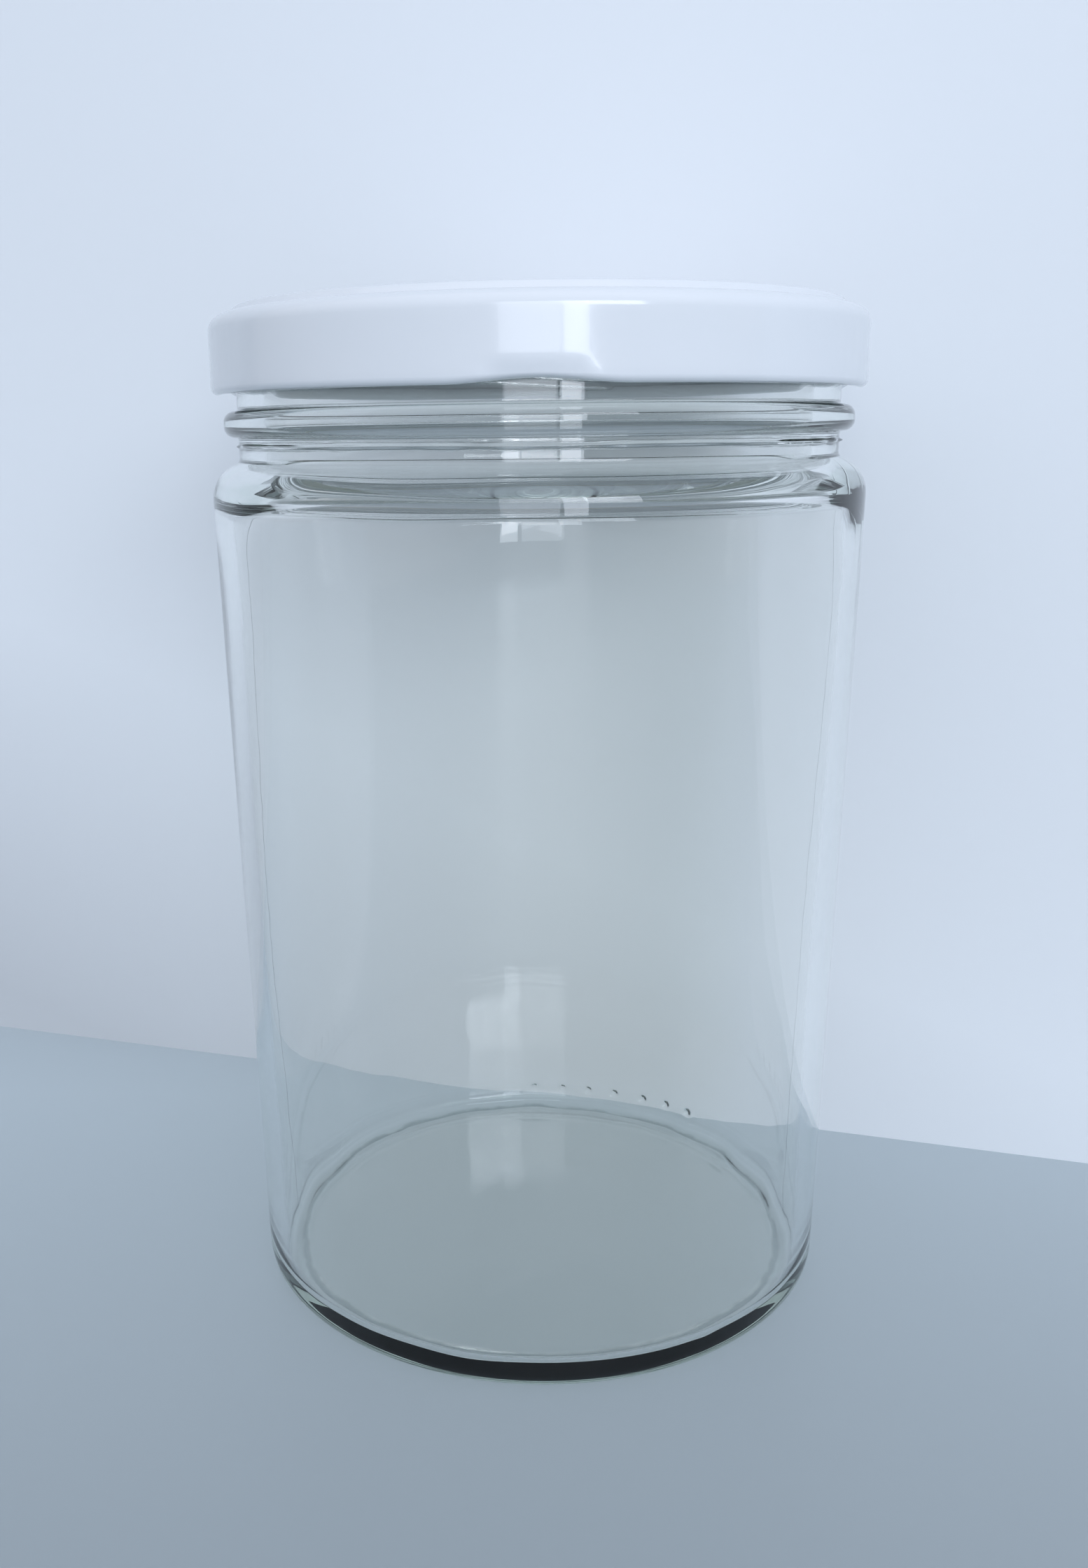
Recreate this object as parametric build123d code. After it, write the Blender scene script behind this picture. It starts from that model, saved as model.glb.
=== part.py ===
from build123d import *
import os

# Empty candle jar: a moulded glass jar, a lacquered tinplate twist-off cap and the ring of
# sealing compound inside the cap. Millimetres, +Z up. The origin is the centre of the jar's
# base on the surface that it stands on, and -Y is the front. A section is a list of
# (radius, height, corner radius) points in the XZ plane, turned about the Z axis.

# Overall sizes, with the cap screwed down
OVERALL_HEIGHT = 134.7
CAP_RADIUS = 42.8
CAP_HEIGHT = 10.7
CAP_BOTTOM = OVERALL_HEIGHT - CAP_HEIGHT

# Glass body and base
BODY_TOP_RADIUS = 43.4
BODY_BOTTOM_RADIUS = 40.9
WALL = 2.4
HEEL_ROUNDING = 3.0
BEARING_RING_INNER_RADIUS = 35.5
BEARING_RING_ROUNDING = 3.0
PUSH_UP = 1.8
DOME_FLAT_RADIUS = 14.0
DOME_ROUNDING = 60.0
FLOOR_HEIGHT = 4.4
FLOOR_EDGE_HEIGHT = 2.8
FLOOR_EDGE_ROUNDING = 2.0

# Shoulder, outside and inside
SHOULDER_TOP = CAP_BOTTOM - 8.3
SHOULDER_CORNER = CAP_BOTTOM - 10.4
SHOULDER_ROUNDING = 4.6
SHOULDER_FILLET = 0.8
INNER_SHOULDER_TOP = CAP_BOTTOM - 9.4
INNER_SHOULDER_CORNER = CAP_BOTTOM - 13.4
INNER_SHOULDER_ROUNDING = 3.0

# Neck, bead and rim
NECK_RADIUS = 39.6
MOUTH_RADIUS = 36.2
RIM_ROUNDING = 1.3
BEAD_RADIUS = 41.45
BEAD_BOTTOM = CAP_BOTTOM - 5.15
BEAD_TOP = CAP_BOTTOM - 2.1
BEAD_ROUNDING = 1.4
BEAD_DRAFT = 0.2
BEAD_FILLET = 0.3

# Twist-off thread: four starts, one for each lug of the cap
STARTS = 4
LEAD = 16.0
THREAD_ARC = 75.0
THREAD_STOP_ARC = 20.0
THREAD_DEPTH = 1.1
THREAD_ROOT = 1.5
THREAD_TIP = 1.1
THREAD_OVERLAP = 0.6
LUG_TO_THREAD_GAP = 0.45

# Tinplate cap
SHEET = 0.25
CURL_HEIGHT = 1.75
CURL_SWEEP = 270.0
CAP_CORNER_ROUNDING = 2.0
STEP_HEIGHT = 0.95
PANEL_RADIUS = 35.6
PANEL_RECESS = 0.6
RING_INNER_RADIUS = 36.4
RING_OUTER_RADIUS = 39.4
RING_ROUNDING = 0.5
SHELF_RADIUS = 40.1
SHELF_ROUNDING = 0.4

# Lugs of the cap
LUG_TIP_RADIUS = 39.95
LUG_ROOT_RADIUS = 41.5
LUG_ARC = 12.6
LUG_LIFT = 0.15
LUG_TOP = CAP_BOTTOM + CURL_HEIGHT

# Sealing ring in the channel above the glass rim
SEAL_CLEARANCE = 0.05
SEAL_INNER_RADIUS = 36.75
SEAL_OUTER_RADIUS = 39.2
SEAL_TOP_INNER_RADIUS = 37.1
SEAL_TOP_OUTER_RADIUS = 38.6
SEAL_THICKNESS = 1.05
SEAL_ROUNDING = 0.2
SEAL_EDGE_ROUNDING = 0.1
CHANNEL_TOP = OVERALL_HEIGHT - SHEET
RIM_HEIGHT = CHANNEL_TOP - SEAL_THICKNESS - 2 * SEAL_CLEARANCE


def turned(section):
    """Turn a closed section of (radius, height, corner radius) points about the Z axis."""
    corners = [(radius, height) for radius, height, _ in section]
    roundings = [rounding for _, _, rounding in section]
    with BuildPart() as part:
        with BuildSketch(Plane.XZ):
            with BuildLine():
                FilletPolyline(*corners, radius=roundings, close=True)
            make_face()
        revolve(axis=Axis.Z)
    return part.part


def jar_body():
    """The glass without its thread: base, wall, shoulder, bead, neck, rim and inside."""
    base = [
        (0, PUSH_UP, 0),
        (DOME_FLAT_RADIUS, PUSH_UP, DOME_ROUNDING),
        (BEARING_RING_INNER_RADIUS, 0, BEARING_RING_ROUNDING),
        (BODY_BOTTOM_RADIUS, 0, HEEL_ROUNDING),
    ]
    shoulder = [
        (BODY_TOP_RADIUS, SHOULDER_CORNER, SHOULDER_ROUNDING),
        (NECK_RADIUS, SHOULDER_TOP, SHOULDER_FILLET),
    ]
    bead = [
        (NECK_RADIUS, BEAD_BOTTOM - BEAD_DRAFT, BEAD_FILLET),
        (BEAD_RADIUS, BEAD_BOTTOM, BEAD_ROUNDING),
        (BEAD_RADIUS, BEAD_TOP, BEAD_ROUNDING),
        (NECK_RADIUS, BEAD_TOP + BEAD_DRAFT, BEAD_FILLET),
    ]
    rim = [
        (NECK_RADIUS, RIM_HEIGHT, RIM_ROUNDING),
        (MOUTH_RADIUS, RIM_HEIGHT, RIM_ROUNDING),
    ]
    inside = [
        (MOUTH_RADIUS, INNER_SHOULDER_TOP, INNER_SHOULDER_ROUNDING),
        (BODY_TOP_RADIUS - WALL, INNER_SHOULDER_CORNER, INNER_SHOULDER_ROUNDING),
        (BODY_BOTTOM_RADIUS - WALL, FLOOR_EDGE_HEIGHT, FLOOR_EDGE_ROUNDING),
        (DOME_FLAT_RADIUS, FLOOR_HEIGHT, DOME_ROUNDING),
        (0, FLOOR_HEIGHT, 0),
    ]
    return turned(base + shoulder + bead + rim + inside)


def thread():
    """One start of the thread, lying so that a lug at +X is just below it."""
    middle = LUG_TOP + LUG_TO_THREAD_GAP + THREAD_TIP / 2
    path = Helix(LEAD, LEAD * THREAD_ARC / 360, NECK_RADIUS)
    section_plane = Plane(origin=path @ 0, x_dir=(1, 0, 0), z_dir=path % 0)
    section = section_plane * Polygon(
        (-THREAD_OVERLAP, -THREAD_ROOT / 2),
        (0, -THREAD_ROOT / 2),
        (THREAD_DEPTH, -THREAD_TIP / 2),
        (THREAD_DEPTH, THREAD_TIP / 2),
        (0, THREAD_ROOT / 2),
        (-THREAD_OVERLAP, THREAD_ROOT / 2),
        align=None,
    )
    start = sweep(section, path=path, is_frenet=True)
    drop = LEAD * THREAD_STOP_ARC / 360
    return Pos(0, 0, middle - drop) * Rot(0, 0, -THREAD_STOP_ARC) * start


def around(shape):
    """Copies of a shape made at +X, one for each start of the thread."""
    return [Rot(0, 0, 360 / STARTS * start) * shape for start in range(STARTS)]


def glass_jar():
    """The whole jar: one piece of moulded glass with the thread on its neck."""
    between_starts = THREAD_ARC - THREAD_STOP_ARC + (360 / STARTS - THREAD_ARC) / 2
    jar = Rot(0, 0, between_starts) * jar_body()
    for start in around(thread()):
        jar += start
    return jar


def cap_sheet():
    """The pressed sheet of the cap: panel, raised ring, shoulder, skirt and inward curl."""
    half = SHEET / 2
    ring_height = OVERALL_HEIGHT - half
    skirt_radius = CAP_RADIUS - half
    curl_radius = CURL_HEIGHT / 2 - half
    curl_height = CAP_BOTTOM + CURL_HEIGHT / 2
    shape = [
        (0, ring_height - PANEL_RECESS, 0),
        (PANEL_RADIUS, ring_height - PANEL_RECESS, RING_ROUNDING),
        (RING_INNER_RADIUS, ring_height, SHELF_ROUNDING),
        (RING_OUTER_RADIUS, ring_height, RING_ROUNDING),
        (SHELF_RADIUS, ring_height - STEP_HEIGHT, SHELF_ROUNDING),
        (skirt_radius, ring_height - STEP_HEIGHT, CAP_CORNER_ROUNDING - half),
        (skirt_radius, curl_height, 0),
    ]
    corners = [(radius, height) for radius, height, _ in shape]
    roundings = [rounding for _, _, rounding in shape[1:-1]]
    with BuildPart() as cap:
        with BuildSketch(Plane.XZ):
            with BuildLine() as middle:
                FilletPolyline(*corners, radius=roundings)
                CenterArc((skirt_radius - curl_radius, curl_height), curl_radius, 0, -CURL_SWEEP)
            trace(middle.edges(), line_width=SHEET)
        revolve(axis=Axis.Z)
    return cap.part


def lug():
    """One lug of the cap, pressed inwards from the curl, at +X."""
    with BuildPart() as part:
        with BuildSketch(Plane.XZ):
            with Locations((LUG_TIP_RADIUS, CAP_BOTTOM + LUG_LIFT)):
                Rectangle(
                    LUG_ROOT_RADIUS - LUG_TIP_RADIUS,
                    CURL_HEIGHT - LUG_LIFT,
                    align=(Align.MIN, Align.MIN),
                )
        revolve(axis=Axis.Z, revolution_arc=LUG_ARC)
    return Rot(0, 0, -LUG_ARC / 2) * part.part


def lid_shell():
    """The cap: one piece of lacquered tinplate with four lugs."""
    return cap_sheet() + around(lug())


def lid_gasket():
    """The ring of sealing compound that fills the channel under the cap's raised ring."""
    bottom = RIM_HEIGHT + SEAL_CLEARANCE
    top = bottom + SEAL_THICKNESS
    return turned([
        (SEAL_INNER_RADIUS, bottom, SEAL_ROUNDING),
        (SEAL_OUTER_RADIUS, bottom, SEAL_EDGE_ROUNDING),
        (SEAL_TOP_OUTER_RADIUS, top, SEAL_ROUNDING),
        (SEAL_TOP_INNER_RADIUS, top, SEAL_ROUNDING),
    ])


def main():
    nodes = {
        "glass_jar": glass_jar(),
        "lid_shell": lid_shell(),
        "lid_gasket": lid_gasket(),
    }
    os.makedirs("parts", exist_ok=True)
    for name, shape in nodes.items():
        export_step(shape, f"parts/{name}.step")


main()
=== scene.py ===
import math

import bmesh
import bpy
import numpy as np
from mathutils import Matrix, Vector


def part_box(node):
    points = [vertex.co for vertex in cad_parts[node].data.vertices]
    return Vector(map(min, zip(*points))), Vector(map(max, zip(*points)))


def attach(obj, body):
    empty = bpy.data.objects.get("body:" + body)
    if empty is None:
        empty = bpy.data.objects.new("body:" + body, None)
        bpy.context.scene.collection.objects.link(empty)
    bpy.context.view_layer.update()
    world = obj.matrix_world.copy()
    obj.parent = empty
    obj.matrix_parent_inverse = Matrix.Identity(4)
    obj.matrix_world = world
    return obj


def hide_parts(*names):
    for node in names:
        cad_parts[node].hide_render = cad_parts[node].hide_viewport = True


# An empty glass candle jar with a twist-off cap. Lengths are in millimetres up to the point
# where a mesh, light or camera is made, and MM turns them into metres. +Z is up, -Y is the front.
# A section is a list of (radius, height, corner radius) points that is turned about the Z axis.

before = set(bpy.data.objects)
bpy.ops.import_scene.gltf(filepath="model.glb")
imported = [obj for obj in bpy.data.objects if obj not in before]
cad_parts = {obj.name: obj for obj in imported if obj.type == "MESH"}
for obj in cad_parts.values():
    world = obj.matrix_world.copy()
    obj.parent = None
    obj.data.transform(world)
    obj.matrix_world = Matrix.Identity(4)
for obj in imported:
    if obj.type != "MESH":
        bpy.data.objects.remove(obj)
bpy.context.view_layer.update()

MM = 0.001
FULL_TURN = 2 * math.pi

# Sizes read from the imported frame
JAR_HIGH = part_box("glass_jar")[1] / MM
CAP_LOW, CAP_HIGH = (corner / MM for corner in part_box("lid_shell"))
SEAL_LOW, SEAL_HIGH = (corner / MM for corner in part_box("lid_gasket"))
RIM_HEIGHT = JAR_HIGH.z
CAP_BOTTOM = CAP_LOW.z
CAP_TOP = CAP_HIGH.z
CAP_RADIUS = 42.8

# Glass body and base. The top is a little narrower than the CAD's, to leave room for the seams
BODY_TOP_RADIUS = 43.33
BODY_BOTTOM_RADIUS = 40.9
WALL = 2.4
HEEL_ROUNDING = 3.0
BEARING_RING_INNER_RADIUS = 35.5
BEARING_RING_ROUNDING = 3.0
PUSH_UP = 1.8
DOME_FLAT_RADIUS = 14.0
DOME_ROUNDING = 60.0
FLOOR_HEIGHT = 4.4
FLOOR_EDGE_HEIGHT = 2.8
FLOOR_EDGE_ROUNDING = 2.0
FLOOR_EDGE_RADIUS = BODY_BOTTOM_RADIUS - WALL - FLOOR_EDGE_ROUNDING
FLOOR_EDGE_WIDTH = 1.4
FLOOR_ZONE_TOP = 8.0
FLOOR_CREASE_RADIUS = 36.1
FLOOR_CREASE_WIDTH = 0.5
FLOOR_CREASE_DEPTH = 0.35

# Thin dark line painted into the glass's colour along the crease of the floor: its smallest radius, how
# far out from there it wanders, how far from its middle it starts and ends fading, and the heights between
# which it fades in and out
DARK_LINE_RADIUS = FLOOR_CREASE_RADIUS - 0.6
DARK_LINE_WANDER = 1.2
DARK_LINE_CORE = 0.15
DARK_LINE_EDGE = 0.7
DARK_LINE_HEIGHTS = (1.9, 2.2, 4.6, 5.0)

# Shoulder, neck, bead and rim
SHOULDER_TOP = CAP_BOTTOM - 8.3
SHOULDER_CORNER = CAP_BOTTOM - 10.4
SHOULDER_ROUNDING = 4.6
SHOULDER_FILLET = 0.8
INNER_SHOULDER_TOP = CAP_BOTTOM - 9.4
INNER_SHOULDER_CORNER = CAP_BOTTOM - 13.4
INNER_SHOULDER_ROUNDING = 3.0
NECK_RADIUS = 39.6
MOUTH_RADIUS = 36.2
RIM_ROUNDING = 1.3
BEAD_RADIUS = 41.45
BEAD_BOTTOM = CAP_BOTTOM - 5.15
BEAD_TOP = CAP_BOTTOM - 2.1
BEAD_ROUNDING = 1.4
BEAD_DRAFT = 0.2
BEAD_FILLET = 0.3

# How uneven the moulded glass is, and between which heights its wall waves
OUTER_WAVE = 0.03
INNER_WAVE = 0.06
INNER_FINE_WAVE = 0.012
FLOOR_WAVE = 0.05
FLOOR_EDGE_WAVE = 0.16
FLOOR_EDGE_KINKS = 9
FLOOR_EDGE_KINK = 0.3
FLOOR_EDGE_KINK_WIDTHS = (0.8, 2.0)
SHOULDER_WAVE = 0.15
SHOULDER_WAVE_WIDTH = 2.5
WAVE_HEIGHTS = (8, 20, 98, 108)

# Marks that the mould leaves: a row of dots on the heel and the lines where its parts meet
DOT_HEIGHT = 4.6
DOT_ANGLES = [math.radians(49 + 7 * dot) for dot in range(7)]
DOT_RADIUS = 0.75
DOT_DEPTH = 0.45
NECK_SEAM_HEIGHT = CAP_BOTTOM - 6.4
NECK_SEAM_WIDTH = 0.2
NECK_SEAM_DEPTH = 0.27
SIDE_SEAM_ANGLES = [0.0, math.pi]
SIDE_SEAM_WIDTH = 0.2
SIDE_SEAM_DEPTH = 0.05

# Twist-off thread and lugs
STARTS = 4
LEAD = 16.0
THREAD_DEPTH = 1.05
THREAD_WIDTH = 1.6
THREAD_MIDDLE = CAP_BOTTOM + 2.75
THREAD_STOP_ARC = math.radians(20)
THREAD_ARC = math.radians(75)
THREAD_TAPER = math.radians(7)
LUG_HALF_ARC = math.radians(6.3)
LUG_BLEND_ARC = math.radians(6.0)
LUG_REACH = 0.75
PRESS_HALF_ARC = math.radians(9.5)
PRESS_FLAT_HEIGHT = 1.2
PRESS_HEIGHT = 2.4
PRESS_DEPTH = 0.35
PRESS_LIFT = 0.6
LUG_FADE_LOW = -0.1  # The lugs fade out between these two heights above the curl's top
LUG_FADE_HIGH = 0.6

# Tinplate
SHEET = 0.25
CURL_HEIGHT = 1.75
CURL_SWEEP = 1.5 * math.pi
CURL_STEPS = 18
CAP_CORNER_ROUNDING = 2.0
STEP_HEIGHT = 0.95
PANEL_RADIUS = 35.6
PANEL_RECESS = 0.6
RING_INNER_RADIUS = 36.4
RING_OUTER_RADIUS = 39.4
RING_ROUNDING = 0.5
SHELF_RADIUS = 40.1
SHELF_ROUNDING = 0.4

# Ring of sealing compound
SEAL_INNER_RADIUS = 36.75
SEAL_OUTER_RADIUS = 39.15
SEAL_TOP_INNER_RADIUS = 37.1
SEAL_TOP_OUTER_RADIUS = 38.6
SEAL_INNER_ROUNDING = 0.3
SEAL_ROUNDING = 0.2
SEAL_WAVE = 0.04

# Light: each pane's name, azimuth and elevation in degrees, width, height and power in watts
DAYLIGHT = (0.843, 0.898, 1.0)
WINDOW_DISTANCE = 1500
WINDOW_PANES = [
    ("window_left_pane", -2.3, 13, 515, 860, 3.8),
    ("window_middle_pane", 12.5, 13, 210, 860, 3.3),
    ("window_right_pane", 25.5, 20, 475, 450, 3.7),
]

# Stage
STAGE_REACH = 1500
WALL_GAP = 44.5
WALL_TURN = math.radians(-15.4)

# Camera
CAMERA_DISTANCE = 202.4
CAMERA_HEIGHT = 119.15
CAMERA_PITCH = math.radians(14.54)
CAMERA_ROLL = math.radians(0.69)
CAMERA_YAW = math.radians(-2.22)
CAMERA_LENS = 33.445
CAMERA_SENSOR = 36
CAMERA_SHIFT = (0.0389, 0.0161)

# Light bounces, chosen for the look of the heel and the shoulder. With 24 and 16, the heel's dark
# band breaks up
MAX_BOUNCES = 16
GLOSSY_BOUNCES = 9

# Mesh density
JAR_COLUMNS = 288
CAP_COLUMNS = 360
ARC_STEP = math.radians(9)
LONGEST_STEP = 2.0
NECK_STEP = 0.2
FLOOR_STEP = 0.25
CAP_STEP = 0.9


def rounded(section, closed=False):
    """The section's line with an arc at each corner, as an array of (radius, height)."""
    points = []
    count = len(section)
    for index, (radius, height, rounding) in enumerate(section):
        corner = np.array([radius, height], float)
        at_end = not closed and index in (0, count - 1)
        if rounding == 0 or at_end:
            points.append(corner)
            continue
        back = np.array(section[index - 1][:2], float) - corner
        ahead = np.array(section[(index + 1) % count][:2], float) - corner
        back /= np.linalg.norm(back)
        ahead /= np.linalg.norm(ahead)
        half_angle = math.acos(np.clip(back @ ahead, -1, 1)) / 2
        middle = (back + ahead) / np.linalg.norm(back + ahead)
        centre = corner + middle * rounding / math.sin(half_angle)
        start = corner + back * rounding / math.tan(half_angle) - centre
        turn = math.pi - 2 * half_angle
        if back[0] * ahead[1] - back[1] * ahead[0] > 0:
            turn = -turn
        steps = max(2, math.ceil(abs(turn) / ARC_STEP))
        for angle in np.linspace(0, turn, steps + 1):
            cosine, sine = math.cos(angle), math.sin(angle)
            spoke = (cosine * start[0] - sine * start[1], sine * start[0] + cosine * start[1])
            points.append(centre + spoke)
    return np.array(points)


def spaced(line, longest, low=-math.inf, high=math.inf):
    """The line with points added, so that no run between the two heights is too long."""
    points = [line[0]]
    for start, end in zip(line[:-1], line[1:]):
        steps = 1
        if max(start[1], end[1]) > low and min(start[1], end[1]) < high:
            steps = max(1, math.ceil(np.linalg.norm(end - start) / longest))
        for step in range(1, steps + 1):
            points.append(start + (end - start) * step / steps)
    return np.array(points)


def smooth_step(value, low, high):
    """0 below low, 1 above high, and a smooth rise between them."""
    share = np.clip((value - low) / (high - low), 0, 1)
    return share * share * (3 - 2 * share)


def ripple(angle, height, seed, highest_wave, longest):
    """An even, seeded unevenness between about -1 and 1 that closes round the axis."""
    random = np.random.default_rng(seed)
    waves = 14
    total = np.zeros_like(angle)
    for _ in range(waves):
        around = random.integers(1, highest_wave + 1)
        along = random.uniform(-1, 1) * FULL_TURN / longest
        phase = random.uniform(0, FULL_TURN)
        total += np.sin(around * angle + along * height + phase)
    return total / math.sqrt(waves)


def turn_between(angle, centre):
    """The signed turn from centre to angle, between minus and plus half a turn."""
    return (angle - centre + math.pi) % FULL_TURN - math.pi


def turned(name, line, angles, shape, closed=False):
    """A mesh turned about Z from a line. shape(angle, radius, height) returns the final two."""
    angle, radius = np.meshgrid(angles, line[:, 0], indexing="ij")
    height = np.broadcast_to(line[:, 1], radius.shape).copy()
    radius, height = shape(angle, radius, height)
    radius[:, line[:, 0] == 0] = 0
    columns, rows = radius.shape
    corners = np.stack([radius * np.cos(angle), radius * np.sin(angle), height], axis=-1) * MM
    index = np.arange(columns * rows).reshape(columns, rows)
    for row in np.flatnonzero(line[:, 0] == 0):
        index[:, row] = index[0, row]
    faces = []
    last = rows if closed else rows - 1
    for column in range(columns):
        here, there = index[column], index[(column + 1) % columns]
        for row in range(last):
            ahead = (row + 1) % rows
            face = [here[row], there[row], there[ahead], here[ahead]]
            faces.append([int(c) for c in dict.fromkeys(face)])
    mesh = bpy.data.meshes.new(name)
    mesh.from_pydata(corners.reshape(-1, 3).tolist(), [], faces)
    piece = bpy.data.objects.new(name, mesh)
    bpy.context.scene.collection.objects.link(piece)
    tidy_mesh(mesh)
    return piece


def tidy_mesh(mesh):
    """Drop the unused copies of the points on the axis and shade the mesh smoothly."""
    work = bmesh.new()
    work.from_mesh(mesh)
    loose = [vertex for vertex in work.verts if not vertex.link_faces]
    bmesh.ops.delete(work, geom=loose, context="VERTS")
    bmesh.ops.recalc_face_normals(work, faces=work.faces)
    for face in work.faces:
        face.smooth = True
    work.to_mesh(mesh)
    work.free()


# ---------------------------------------------------------------- glass jar


def jar_line():
    """The jar's section from the middle of the underside, up the outside and down the inside,
    and how many of its points lie outside."""
    rim_radius = (NECK_RADIUS + MOUTH_RADIUS) / 2
    outside = rounded([
        (0, PUSH_UP, 0),
        (DOME_FLAT_RADIUS, PUSH_UP, DOME_ROUNDING),
        (BEARING_RING_INNER_RADIUS, 0, BEARING_RING_ROUNDING),
        (BODY_BOTTOM_RADIUS, 0, HEEL_ROUNDING),
        (BODY_TOP_RADIUS, SHOULDER_CORNER, SHOULDER_ROUNDING),
        (NECK_RADIUS, SHOULDER_TOP, SHOULDER_FILLET),
        (NECK_RADIUS, BEAD_BOTTOM - BEAD_DRAFT, BEAD_FILLET),
        (BEAD_RADIUS, BEAD_BOTTOM, BEAD_ROUNDING),
        (BEAD_RADIUS, BEAD_TOP, BEAD_ROUNDING),
        (NECK_RADIUS, BEAD_TOP + BEAD_DRAFT, BEAD_FILLET),
        (NECK_RADIUS, RIM_HEIGHT, RIM_ROUNDING),
        (rim_radius, RIM_HEIGHT, 0),
    ])
    inside = rounded([
        (rim_radius, RIM_HEIGHT, 0),
        (MOUTH_RADIUS, RIM_HEIGHT, RIM_ROUNDING),
        (MOUTH_RADIUS, INNER_SHOULDER_TOP, INNER_SHOULDER_ROUNDING),
        (BODY_TOP_RADIUS - WALL, INNER_SHOULDER_CORNER, INNER_SHOULDER_ROUNDING),
        (BODY_BOTTOM_RADIUS - WALL, FLOOR_EDGE_HEIGHT, FLOOR_EDGE_ROUNDING),
        (DOME_FLAT_RADIUS, FLOOR_HEIGHT, DOME_ROUNDING),
        (0, FLOOR_HEIGHT, 0),
    ])
    outside = spaced(outside, LONGEST_STEP)
    outside = spaced(outside, DOT_RADIUS / 2, DOT_HEIGHT - 2 * DOT_RADIUS, DOT_HEIGHT + 2 * DOT_RADIUS)
    seam_reach = 3 * NECK_SEAM_WIDTH
    outside = spaced(outside, seam_reach / 6, NECK_SEAM_HEIGHT - seam_reach, NECK_SEAM_HEIGHT + seam_reach)
    outside = spaced(outside, NECK_STEP, CAP_BOTTOM)
    inside = spaced(inside, LONGEST_STEP)[1:]
    inside = spaced(inside, FLOOR_STEP, -math.inf, FLOOR_EDGE_HEIGHT + 0.3)
    return np.vstack([outside, inside]), len(outside)


def jar_angles():
    """The angles of the jar's columns, which are closer together at the dots and side seams."""
    angles = np.linspace(0, FULL_TURN, JAR_COLUMNS, endpoint=False)
    dot_step = DOT_RADIUS / 2 / BODY_BOTTOM_RADIUS
    dot_reach = 4 * dot_step
    zones = [(DOT_ANGLES[0] - dot_reach, DOT_ANGLES[-1] + dot_reach, dot_step)]
    seam_reach = 3 * SIDE_SEAM_WIDTH / BODY_TOP_RADIUS
    zones += [(seam - seam_reach, seam + seam_reach, seam_reach / 5) for seam in SIDE_SEAM_ANGLES]
    for low, high, step in zones:
        outside = turn_between(angles, (low + high) / 2)
        angles = angles[np.abs(outside) > (high - low) / 2 + step]
        angles = np.append(angles, np.arange(low, high + step / 2, step))
    return np.sort(angles % FULL_TURN)


def thread_rise(angle, height):
    """How far the thread stands out of the neck at each point."""
    rise = np.zeros_like(angle)
    for start in range(STARTS):
        turn = turn_between(angle, start * FULL_TURN / STARTS)
        middle = THREAD_MIDDLE + LEAD * turn / FULL_TURN
        across = 1 - smooth_step(np.abs(height - middle), THREAD_WIDTH * 0.22, THREAD_WIDTH * 0.55)
        low_end = smooth_step(turn, -THREAD_STOP_ARC, THREAD_TAPER - THREAD_STOP_ARC)
        high = THREAD_ARC - THREAD_STOP_ARC
        high_end = 1 - smooth_step(turn, high - 2 * THREAD_TAPER, high)
        rise = np.maximum(rise, across * low_end * high_end)
    return rise * THREAD_DEPTH


def mould_marks(angle, height):
    """How far the dots and the mould's lines stand out of the outside of the glass."""
    rise = np.zeros_like(angle)
    for dot in DOT_ANGLES:
        across = turn_between(angle, dot) * BODY_BOTTOM_RADIUS
        away = np.hypot(across, height - DOT_HEIGHT)
        rise += DOT_DEPTH * (1 - smooth_step(away, 0.3 * DOT_RADIUS, 1.3 * DOT_RADIUS))
    uneven = 1 + 0.5 * ripple(angle, height * 0, 31, 40, 60)
    away = (height - NECK_SEAM_HEIGHT - 0.05 * ripple(angle, height * 0, 33, 9, 60)) / NECK_SEAM_WIDTH
    rise += NECK_SEAM_DEPTH * np.clip(uneven, 0.3, 1.7) * np.exp(-away ** 2)
    body = smooth_step(height, 1, 4) * (1 - smooth_step(height, SHOULDER_CORNER, SHOULDER_TOP))
    for seam in SIDE_SEAM_ANGLES:
        away = turn_between(angle, seam) * BODY_TOP_RADIUS / SIDE_SEAM_WIDTH
        rise += SIDE_SEAM_DEPTH * body * np.exp(-away ** 2)
    return rise


def floor_edge_wave(angle):
    """The uneven rise of the floor's edge, with a few small kinks left by the plunger."""
    wave = FLOOR_EDGE_WAVE * ripple(angle, angle * 0, 11, 19, 60)
    random = np.random.default_rng(17)
    for _ in range(FLOOR_EDGE_KINKS):
        centre = random.uniform(0, FULL_TURN)
        away = turn_between(angle, centre) * FLOOR_EDGE_RADIUS
        rise = random.uniform(-FLOOR_EDGE_KINK, FLOOR_EDGE_KINK)
        width = random.uniform(*FLOOR_EDGE_KINK_WIDTHS)
        wave += rise * np.exp(-(away / width) ** 2)
    return wave


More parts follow.
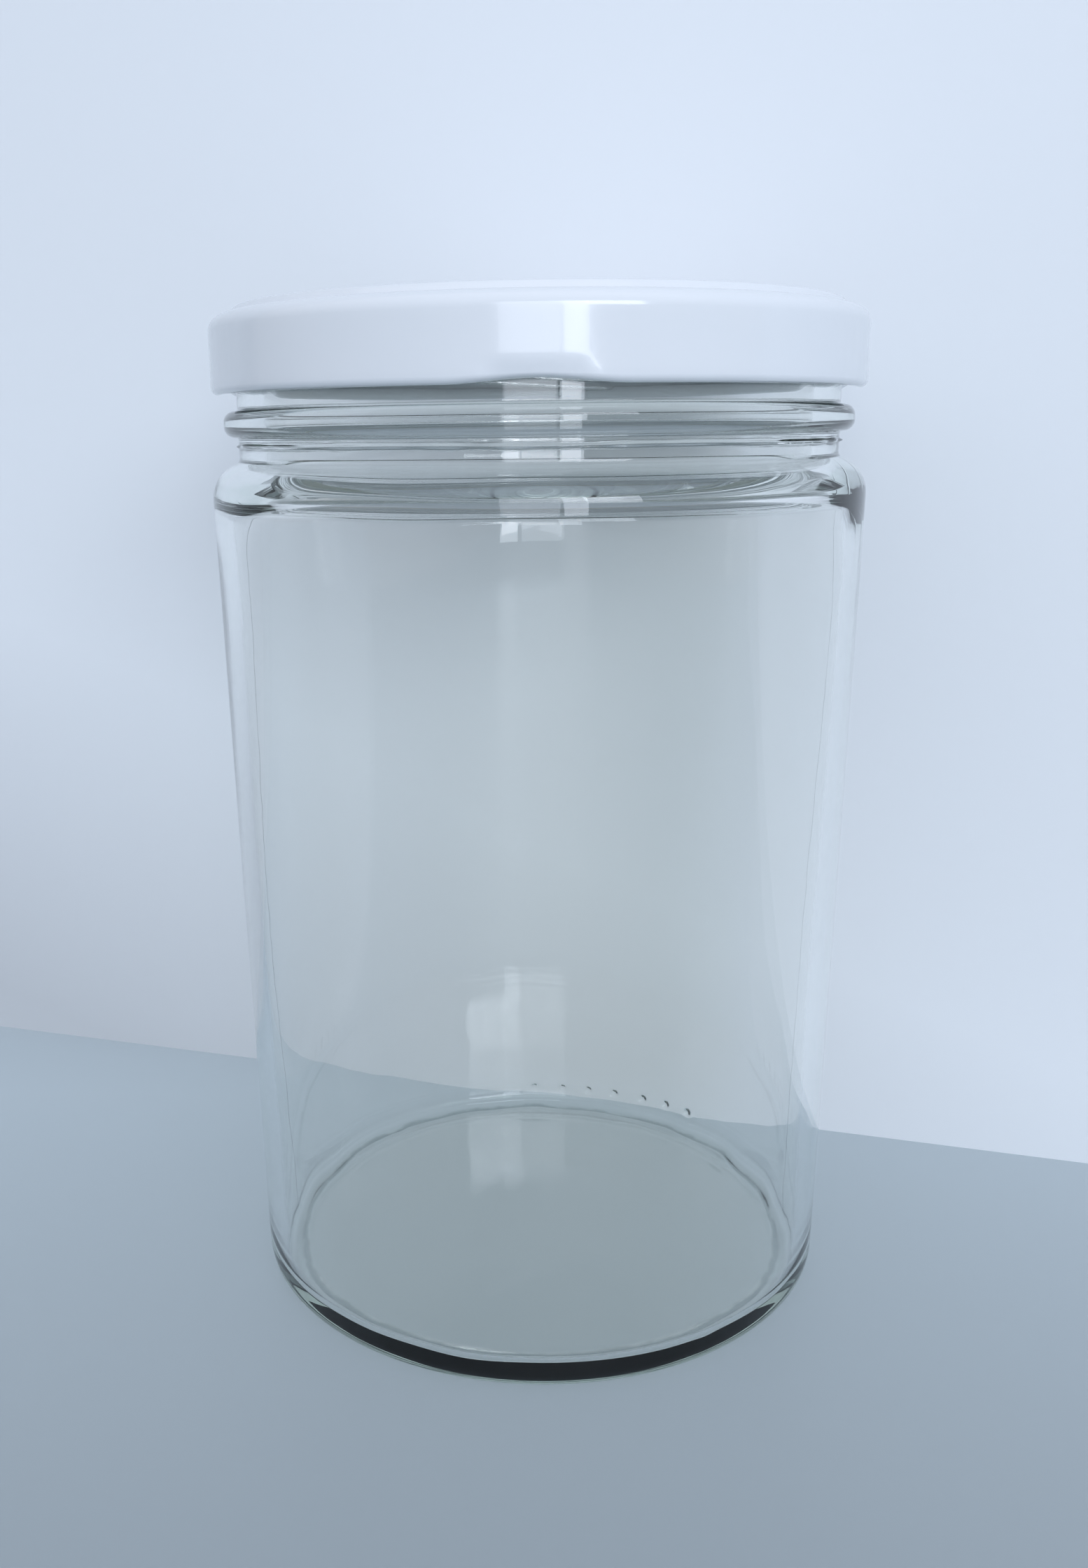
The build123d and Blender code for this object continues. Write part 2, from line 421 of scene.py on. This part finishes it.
def make_jar():
    """The whole glass, with its thread, its mould marks and its unevenness."""
    line, outer_rows = jar_line()
    inner = np.arange(len(line)) >= outer_rows

    def shape(angle, radius, height):
        low, low_full, high_full, high = WAVE_HEIGHTS
        wall = smooth_step(height, low, low_full) * (1 - smooth_step(height, high_full, high))
        outer_wave = OUTER_WAVE * ripple(angle, height, 3, 7, 160)
        inner_wave = INNER_WAVE * ripple(angle, height, 5, 7, 130)
        inner_wave += INNER_FINE_WAVE * ripple(angle, height, 8, 26, 60)
        outer_skin = radius > NECK_RADIUS - 0.5
        neck = smooth_step(height, CAP_BOTTOM, CAP_BOTTOM + 0.5) * outer_skin
        marks = mould_marks(angle, height) * outer_skin * (height > 1)
        low_down = height < FLOOR_ZONE_TOP
        edge = np.exp(-((radius - FLOOR_EDGE_RADIUS) / FLOOR_EDGE_WIDTH) ** 2) * low_down
        crease = np.exp(-((radius - FLOOR_CREASE_RADIUS) / FLOOR_CREASE_WIDTH) ** 2) * low_down
        floor = (height < FLOOR_HEIGHT + 0.1) * (1 - smooth_step(radius, 28, FLOOR_EDGE_RADIUS - 1))
        floor_wave = FLOOR_WAVE * ripple(angle, radius, 13, 5, 40) * radius / FLOOR_EDGE_RADIUS
        shoulder = np.exp(-((height - INNER_SHOULDER_CORNER) / SHOULDER_WAVE_WIDTH) ** 2)
        radius = radius + wall * np.where(inner, inner_wave, outer_wave)
        radius = radius + ~inner * (neck * thread_rise(angle, height) + marks)
        radius = radius + inner * shoulder * SHOULDER_WAVE * ripple(angle, height * 0, 41, 11, 60)
        height = height + inner * (edge * floor_edge_wave(angle) + floor * floor_wave)
        height = height - inner * crease * FLOOR_CREASE_DEPTH
        return radius, height

    return turned("glass_jar_body", line, jar_angles(), shape)


# ---------------------------------------------------------------- cap


def cap_line():
    """The pressed sheet's closed section: the outside from the middle of the panel to the tip
    of the curl, then the inside back again."""
    half = SHEET / 2
    ring_height = CAP_TOP - half
    skirt_radius = CAP_RADIUS - half
    curl_radius = CURL_HEIGHT / 2 - half
    curl_height = CAP_BOTTOM + CURL_HEIGHT / 2
    pressed = rounded([
        (0, ring_height - PANEL_RECESS, 0),
        (PANEL_RADIUS, ring_height - PANEL_RECESS, RING_ROUNDING),
        (RING_INNER_RADIUS, ring_height, SHELF_ROUNDING),
        (RING_OUTER_RADIUS, ring_height, RING_ROUNDING),
        (SHELF_RADIUS, ring_height - STEP_HEIGHT, SHELF_ROUNDING),
        (skirt_radius, ring_height - STEP_HEIGHT, CAP_CORNER_ROUNDING - half),
        (skirt_radius, curl_height, 0),
    ])
    curl_angles = np.linspace(0, -CURL_SWEEP, CURL_STEPS + 1)[1:]
    curl = np.stack([
        skirt_radius - curl_radius + curl_radius * np.cos(curl_angles),
        curl_height + curl_radius * np.sin(curl_angles),
    ], axis=-1)
    middle = np.vstack([spaced(pressed, CAP_STEP), curl])
    along = np.gradient(middle, axis=0)
    along /= np.linalg.norm(along, axis=1)[:, None]
    outward = np.stack([-along[:, 1], along[:, 0]], axis=-1)
    outer = middle + outward * half
    inner = middle - outward * half
    outer[0, 0] = inner[0, 0] = 0
    return np.vstack([outer, inner[::-1]])


def make_cap():
    """The cap's sheet, with four lugs, the marks of pressing them and an edge that rises there."""
    line = cap_line()
    angles = np.linspace(0, FULL_TURN, CAP_COLUMNS, endpoint=False)
    curl_top = CAP_BOTTOM + CURL_HEIGHT

    def shape(angle, radius, height):
        turn = np.abs(turn_between(angle * STARTS, 0)) / STARTS
        tip = 1 - smooth_step(turn, LUG_HALF_ARC - LUG_BLEND_ARC / 2, LUG_HALF_ARC + LUG_BLEND_ARC / 2)
        in_curl = 1 - smooth_step(height, curl_top + LUG_FADE_LOW, curl_top + LUG_FADE_HIGH)
        depth = smooth_step(CAP_RADIUS - radius, SHEET, CURL_HEIGHT)
        press = 1 - smooth_step(turn, PRESS_HALF_ARC / 2, PRESS_HALF_ARC)
        low = 1 - smooth_step(height, CAP_BOTTOM + PRESS_FLAT_HEIGHT, CAP_BOTTOM + PRESS_HEIGHT)
        lift = 1 - smooth_step(turn, 0, 1.5 * PRESS_HALF_ARC)
        at_edge = 1 - smooth_step(height, CAP_BOTTOM, curl_top)
        radius = radius - tip * in_curl * depth * LUG_REACH - press * low * PRESS_DEPTH
        height = height + lift * at_edge * PRESS_LIFT
        return radius, height

    return turned("cap_shell", line, angles, shape, closed=True)


def make_gasket():
    """The slightly uneven ring of compound above the glass rim."""
    line = rounded([
        (SEAL_INNER_RADIUS, SEAL_LOW.z, SEAL_INNER_ROUNDING),
        (SEAL_OUTER_RADIUS, SEAL_LOW.z, SEAL_ROUNDING),
        (SEAL_TOP_OUTER_RADIUS, SEAL_HIGH.z, SEAL_ROUNDING),
        (SEAL_TOP_INNER_RADIUS, SEAL_HIGH.z, SEAL_ROUNDING),
    ], closed=True)
    angles = np.linspace(0, FULL_TURN, JAR_COLUMNS, endpoint=False)

    def shape(angle, radius, height):
        return radius + SEAL_WAVE * ripple(angle, height, 21, 17, 30), height

    return turned("cap_compound", line, angles, shape, closed=True)


# ---------------------------------------------------------------- materials


def new_material(name):
    """A new node material, its nodes and links, and its Principled shader."""
    material = bpy.data.materials.new(name)
    material.use_nodes = True
    nodes = material.node_tree.nodes
    return material, nodes, material.node_tree.links, nodes["Principled BSDF"]


def math_node(nodes, operation, *values):
    """A Math node with its inputs set, apart from those given as None or left out."""
    node = nodes.new("ShaderNodeMath")
    node.operation = operation
    for socket, value in zip(node.inputs, values):
        if value is not None:
            socket.default_value = value
    return node


def map_range(nodes, low, high, at_low, at_high):
    """A Map Range node that changes smoothly between two values."""
    node = nodes.new("ShaderNodeMapRange")
    node.interpolation_type = "SMOOTHSTEP"
    node.inputs["From Min"].default_value = low
    node.inputs["From Max"].default_value = high
    node.inputs["To Min"].default_value = at_low
    node.inputs["To Max"].default_value = at_high
    return node


def colour_mix(nodes, first, second):
    """A node that mixes two colours by its Fac input."""
    node = nodes.new("ShaderNodeMixRGB")
    node.inputs["Color1"].default_value = (*first, 1)
    node.inputs["Color2"].default_value = (*second, 1)
    return node


def noise_bump(nodes, links, shader, scale, strength, distance):
    """Fine unevenness of the surface from a noise in the object's own space. The noise is
    returned, for a colour that follows it."""
    place = nodes.new("ShaderNodeTexCoord")
    texture = nodes.new("ShaderNodeTexNoise")
    texture.inputs["Scale"].default_value = scale
    texture.inputs["Detail"].default_value = 2
    bump = nodes.new("ShaderNodeBump")
    bump.inputs["Strength"].default_value = strength
    bump.inputs["Distance"].default_value = distance
    links.new(place.outputs["Object"], texture.inputs["Vector"])
    links.new(texture.outputs["Fac"], bump.inputs["Height"])
    links.new(bump.outputs["Normal"], shader.inputs["Normal"])
    return texture


def crease_share(nodes, links):
    """1 along the thin, uneven dark line painted in the crease of the jar's floor, 0 elsewhere."""
    place = nodes.new("ShaderNodeTexCoord")
    flat = nodes.new("ShaderNodeVectorMath")
    flat.operation = "MULTIPLY"
    flat.inputs[1].default_value = (1, 1, 0)
    radius = nodes.new("ShaderNodeVectorMath")
    radius.operation = "LENGTH"
    noise = nodes.new("ShaderNodeTexNoise")
    noise.inputs["Scale"].default_value = 260
    noise.inputs["Detail"].default_value = 3
    wander = math_node(nodes, "MULTIPLY_ADD", None, DARK_LINE_WANDER * MM, DARK_LINE_RADIUS * MM)
    away = math_node(nodes, "SUBTRACT")
    distance = math_node(nodes, "ABSOLUTE")
    line = map_range(nodes, DARK_LINE_CORE * MM, DARK_LINE_EDGE * MM, 1, 0)
    split = nodes.new("ShaderNodeSeparateXYZ")
    heights = [height * MM for height in DARK_LINE_HEIGHTS]
    above = map_range(nodes, *heights[:2], 0, 1)
    below = map_range(nodes, *heights[2:], 1, 0)
    on_floor = math_node(nodes, "MULTIPLY")
    share = math_node(nodes, "MULTIPLY")
    links.new(place.outputs["Object"], flat.inputs[0])
    links.new(flat.outputs["Vector"], radius.inputs[0])
    links.new(place.outputs["Object"], noise.inputs["Vector"])
    links.new(noise.outputs["Fac"], wander.inputs[0])
    links.new(radius.outputs["Value"], away.inputs[0])
    links.new(wander.outputs["Value"], away.inputs[1])
    links.new(away.outputs["Value"], distance.inputs[0])
    links.new(distance.outputs["Value"], line.inputs["Value"])
    links.new(place.outputs["Object"], split.inputs["Vector"])
    links.new(split.outputs["Z"], above.inputs["Value"])
    links.new(split.outputs["Z"], below.inputs["Value"])
    links.new(above.outputs["Result"], on_floor.inputs[0])
    links.new(below.outputs["Result"], on_floor.inputs[1])
    links.new(on_floor.outputs["Value"], share.inputs[0])
    links.new(line.outputs["Result"], share.inputs[1])
    return share.outputs["Value"]


def glass_material():
    """Clear glass. Light that comes from lamps or off other surfaces goes straight through, so
    what is behind and inside the jar isn't left dark."""
    material, nodes, links, shader = new_material("clear_glass")
    shader.inputs["Roughness"].default_value = 0.0
    shader.inputs["IOR"].default_value = 1.5
    shader.inputs["Transmission Weight"].default_value = 1.0
    # The second, darker colour is painted into the glass along the crease of the floor, as a thin uneven
    # line
    tint = colour_mix(nodes, (0.992, 0.992, 0.986), (0.5, 0.54, 0.53))
    links.new(crease_share(nodes, links), tint.inputs["Fac"])
    links.new(tint.outputs["Color"], shader.inputs["Base Color"])
    noise_bump(nodes, links, shader, 90, 0.05, 0.0004)
    absorb = nodes.new("ShaderNodeVolumeAbsorption")
    absorb.inputs["Color"].default_value = (0.78, 0.86, 0.81, 1)
    absorb.inputs["Density"].default_value = 26
    output = nodes["Material Output"]
    links.new(absorb.outputs["Volume"], output.inputs["Volume"])
    ray = nodes.new("ShaderNodeLightPath")
    through = math_node(nodes, "MAXIMUM")
    clear = nodes.new("ShaderNodeBsdfTransparent")
    clear.inputs["Color"].default_value = (0.955, 0.955, 0.945, 1)
    mix = nodes.new("ShaderNodeMixShader")
    links.new(ray.outputs["Is Shadow Ray"], through.inputs[0])
    links.new(ray.outputs["Is Diffuse Ray"], through.inputs[1])
    links.new(through.outputs["Value"], mix.inputs["Fac"])
    links.new(shader.outputs["BSDF"], mix.inputs[1])
    links.new(clear.outputs["BSDF"], mix.inputs[2])
    links.new(mix.outputs["Shader"], output.inputs["Surface"])
    return material


def lacquer_material():
    """Glossy white lacquer, with the slight unevenness in colour and gloss of a sprayed coat."""
    material, nodes, links, shader = new_material("white_lacquer")
    shader.inputs["Coat Weight"].default_value = 0.4
    shader.inputs["Coat Roughness"].default_value = 0.05
    noise_bump(nodes, links, shader, 700, 0.05, 0.0002)
    place = nodes.new("ShaderNodeTexCoord")
    patches = nodes.new("ShaderNodeTexNoise")
    patches.inputs["Scale"].default_value = 60
    patches.inputs["Detail"].default_value = 4
    tone = colour_mix(nodes, (0.69, 0.725, 0.765), (0.735, 0.76, 0.795))
    gloss = map_range(nodes, 0.3, 0.7, 0.13, 0.2)
    links.new(place.outputs["Object"], patches.inputs["Vector"])
    links.new(patches.outputs["Fac"], tone.inputs["Fac"])
    links.new(patches.outputs["Fac"], gloss.inputs["Value"])
    links.new(tone.outputs["Color"], shader.inputs["Base Color"])
    links.new(gloss.outputs["Result"], shader.inputs["Roughness"])
    return material


def compound_material():
    """Soft off-white compound with a finely grained surface."""
    material, nodes, links, shader = new_material("sealing_compound")
    shader.inputs["Roughness"].default_value = 0.5
    grain = noise_bump(nodes, links, shader, 900, 0.2, 0.0002)
    tone = colour_mix(nodes, (0.7, 0.69, 0.63), (0.78, 0.77, 0.72))
    links.new(grain.outputs["Fac"], tone.inputs["Fac"])
    links.new(tone.outputs["Color"], shader.inputs["Base Color"])
    return material


def stage_material(name, colour, shade, roughness, towards, near, far):
    """A plain surface with painted shade: its colour grows darker, down to a shade of it, from near to far
    (mm) along one direction. It is clear from its back, so that it hides nothing from behind."""
    material, nodes, links, shader = new_material(name)
    shader.inputs["Roughness"].default_value = roughness
    place = nodes.new("ShaderNodeTexCoord")
    along = nodes.new("ShaderNodeVectorMath")
    along.operation = "DOT_PRODUCT"
    along.inputs[1].default_value = towards
    share = nodes.new("ShaderNodeMapRange")
    share.inputs["From Min"].default_value = near * MM
    share.inputs["From Max"].default_value = far * MM
    # Painted shade: the colour darkens to this shade along the direction
    tone = colour_mix(nodes, colour, [level * shade for level in colour])
    links.new(place.outputs["Object"], along.inputs[0])
    links.new(along.outputs["Value"], share.inputs["Value"])
    links.new(share.outputs["Result"], tone.inputs["Fac"])
    links.new(tone.outputs["Color"], shader.inputs["Base Color"])
    side = nodes.new("ShaderNodeNewGeometry")
    clear = nodes.new("ShaderNodeBsdfTransparent")
    mix = nodes.new("ShaderNodeMixShader")
    links.new(side.outputs["Backfacing"], mix.inputs["Fac"])
    links.new(shader.outputs["BSDF"], mix.inputs[1])
    links.new(clear.outputs["BSDF"], mix.inputs[2])
    links.new(mix.outputs["Shader"], nodes["Material Output"].inputs["Surface"])
    return material


# ---------------------------------------------------------------- stage, lights and camera


def card(name, corners, material):
    """A flat four-cornered part of the stage."""
    mesh = bpy.data.meshes.new(name)
    mesh.from_pydata([Vector(corner) * MM for corner in corners], [], [(0, 1, 2, 3)])
    mesh.materials.append(material)
    flat = bpy.data.objects.new(name, mesh)
    bpy.context.scene.collection.objects.link(flat)
    return flat


def make_stage():
    """A table that reaches past the foot of a wall, which stands close behind the jar."""
    along = Vector((math.cos(WALL_TURN), math.sin(WALL_TURN), 0))
    behind = Vector((-along.y, along.x, 0))
    left = behind * WALL_GAP - along * STAGE_REACH
    right = behind * WALL_GAP + along * STAGE_REACH
    up = Vector((0, 0, STAGE_REACH))
    front = Vector((0, -2 * STAGE_REACH, 0))
    # Painted shade: the table darkens towards the front, and the wall towards its foot, most on its left
    table = stage_material("stage_table", (0.505, 0.575, 0.615), 0.66, 0.5, (0, -1, 0), -45, 75)
    wall = stage_material("stage_wall", (0.775, 0.808, 0.845), 0.68, 0.9, (-0.35, 0, -0.94), -45, 30)
    card("stage_table", [left + front, right + front, right - front, left - front], table)
    card("stage_wall", [left, right, right + up, left + up], wall)


def window(name, azimuth, elevation, width, height, power):
    """A soft area light that faces the jar, like one pane of a window."""
    light = bpy.data.lights.new(name, "AREA")
    light.shape = "RECTANGLE"
    light.size = width * MM
    light.size_y = height * MM
    light.energy = power
    light.color = DAYLIGHT
    lamp = bpy.data.objects.new(name, light)
    bpy.context.scene.collection.objects.link(lamp)
    azimuth, elevation = math.radians(azimuth), math.radians(elevation)
    away = Vector((
        math.sin(azimuth) * math.cos(elevation),
        -math.cos(azimuth) * math.cos(elevation),
        math.sin(elevation),
    ))
    target = Vector((0, 0, CAP_BOTTOM))
    lamp.location = (target + away * WINDOW_DISTANCE) * MM
    lamp.rotation_euler = away.to_track_quat("Z", "Y").to_euler()


def make_lights():
    """The three panes of a window in front of the jar, and the light of the room."""
    for pane in WINDOW_PANES:
        window(*pane)
    bpy.context.scene.world = room_world()


def room_world():
    """Even daylight that is stronger from above and the right and weaker from low on the left."""
    world = bpy.data.worlds.new("room")
    world.use_nodes = True
    nodes = world.node_tree.nodes
    links = world.node_tree.links
    background = nodes["Background"]
    background.inputs["Color"].default_value = (*DAYLIGHT, 1)
    place = nodes.new("ShaderNodeTexCoord")
    towards = nodes.new("ShaderNodeVectorMath")
    towards.operation = "DOT_PRODUCT"
    towards.inputs[1].default_value = (0.2, 0.1, 0.9)
    strength = nodes.new("ShaderNodeMapRange")
    strength.inputs["From Min"].default_value = -0.4
    strength.inputs["From Max"].default_value = 0.95
    strength.inputs["To Min"].default_value = 0.4
    strength.inputs["To Max"].default_value = 1.2
    links.new(place.outputs["Generated"], towards.inputs[0])
    links.new(towards.outputs["Value"], strength.inputs["Value"])
    links.new(strength.outputs["Result"], background.inputs["Strength"])
    return world


def make_camera():
    """A camera just below the cap's top, near the jar, that looks down at it a little."""
    data = bpy.data.cameras.new("camera")
    data.sensor_width = CAMERA_SENSOR
    data.lens = CAMERA_LENS
    data.shift_x, data.shift_y = CAMERA_SHIFT
    data.clip_start = 0.01
    camera = bpy.data.objects.new("camera", data)
    bpy.context.scene.collection.objects.link(camera)
    forward = Vector((
        math.sin(CAMERA_YAW) * math.cos(CAMERA_PITCH),
        math.cos(CAMERA_YAW) * math.cos(CAMERA_PITCH),
        -math.sin(CAMERA_PITCH),
    ))
    right = forward.cross(Vector((0, 0, 1))).normalized()
    down = forward.cross(right)
    side = right * math.cos(CAMERA_ROLL) + down * math.sin(CAMERA_ROLL)
    up = right * math.sin(CAMERA_ROLL) - down * math.cos(CAMERA_ROLL)
    turn = Matrix((side, up, -forward)).transposed()
    spot = Vector((0, -CAMERA_DISTANCE, CAMERA_HEIGHT)) * MM
    camera.matrix_world = Matrix.Translation(spot) @ turn.to_4x4()
    bpy.context.scene.camera = camera


# ---------------------------------------------------------------- the object


def place(piece, body, node, slot, material):
    """Give a piece its material, hide the CAD node that it replaces and move it with a body."""
    piece.data.materials.append(material)
    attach(piece, body)
    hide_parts(node)


place(make_jar(), "jar", "glass_jar", "clear_glass", glass_material())
place(make_cap(), "cap", "lid_shell", "white_lacquered_tinplate", lacquer_material())
place(make_gasket(), "cap_seal", "lid_gasket", "sealing_compound", compound_material())
make_stage()
make_lights()
make_camera()
bpy.context.scene.view_settings.view_transform = "Standard"
bpy.context.scene.cycles.max_bounces = MAX_BOUNCES
bpy.context.scene.cycles.glossy_bounces = GLOSSY_BOUNCES
